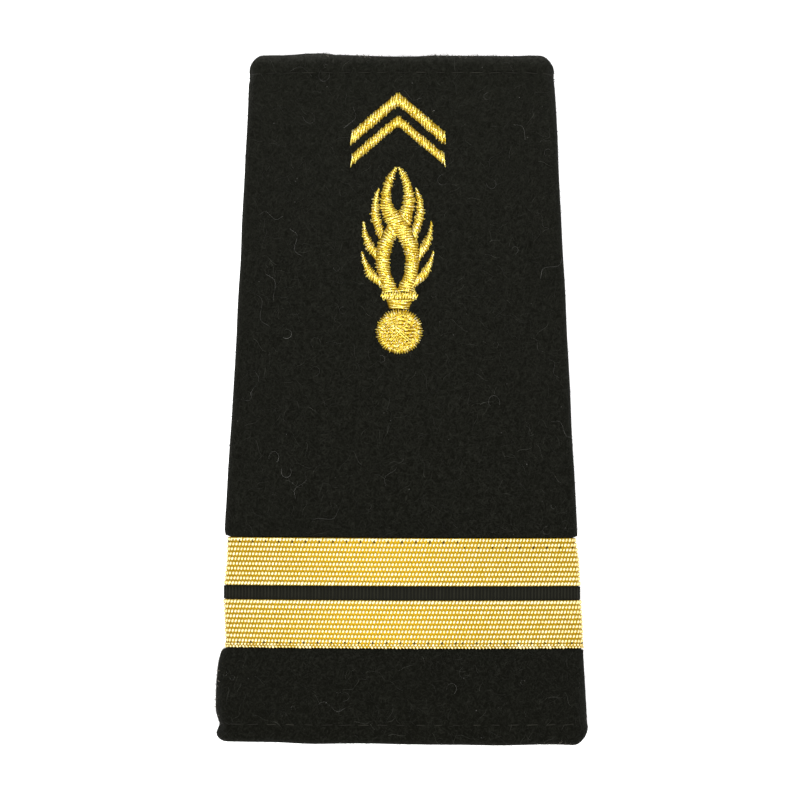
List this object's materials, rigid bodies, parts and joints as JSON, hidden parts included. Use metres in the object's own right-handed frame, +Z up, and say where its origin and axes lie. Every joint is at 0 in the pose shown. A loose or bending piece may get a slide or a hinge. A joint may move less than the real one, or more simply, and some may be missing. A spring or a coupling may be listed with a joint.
{
  "type": "shoulder board",
  "caption": "Slip-on shoulder board: a flat black felt sleeve, open at both ends, with a gold and black rank ribbon, chevrons and a flaming grenade embroidered in gold thread.",
  "frame": {"origin": "middle of the box that the board fills, on the surface that its back lies on", "axes": "+X to the wearer's view right across the face, +Y along the board toward its narrow collar end, +Z up out of the embroidered face"},
  "size_m": [0.0566, 0.1048, 0.0099],
  "materials": {
    "felt": "matte near-black wool felt with a short nap",
    "ribbon_black": "woven black ribbon, fine ribs",
    "ribbon_gold": "woven gold metallic thread in rows of beads",
    "gold_thread": "glossy gold embroidery thread in satin stitch"
  },
  "bodies": {
    "root": {"felt_sleeve": "felt", "ribbon_ground": "ribbon_black", "gold_band_upper": "ribbon_gold", "gold_band_lower": "ribbon_gold", "chevron_upper": "gold_thread", "chevron_lower": "gold_thread", "flame_cross": "gold_thread", "flame_right": "gold_thread", "flame_left": "gold_thread", "tongue_top_left": "gold_thread", "tongue_top_right": "gold_thread", "tongue_middle_left": "gold_thread", "tongue_middle_right": "gold_thread", "tongue_low_left": "gold_thread", "tongue_low_right": "gold_thread", "flame_bar": "gold_thread", "neck": "gold_thread", "ball": "gold_thread"}
  },
  "joints": []
}
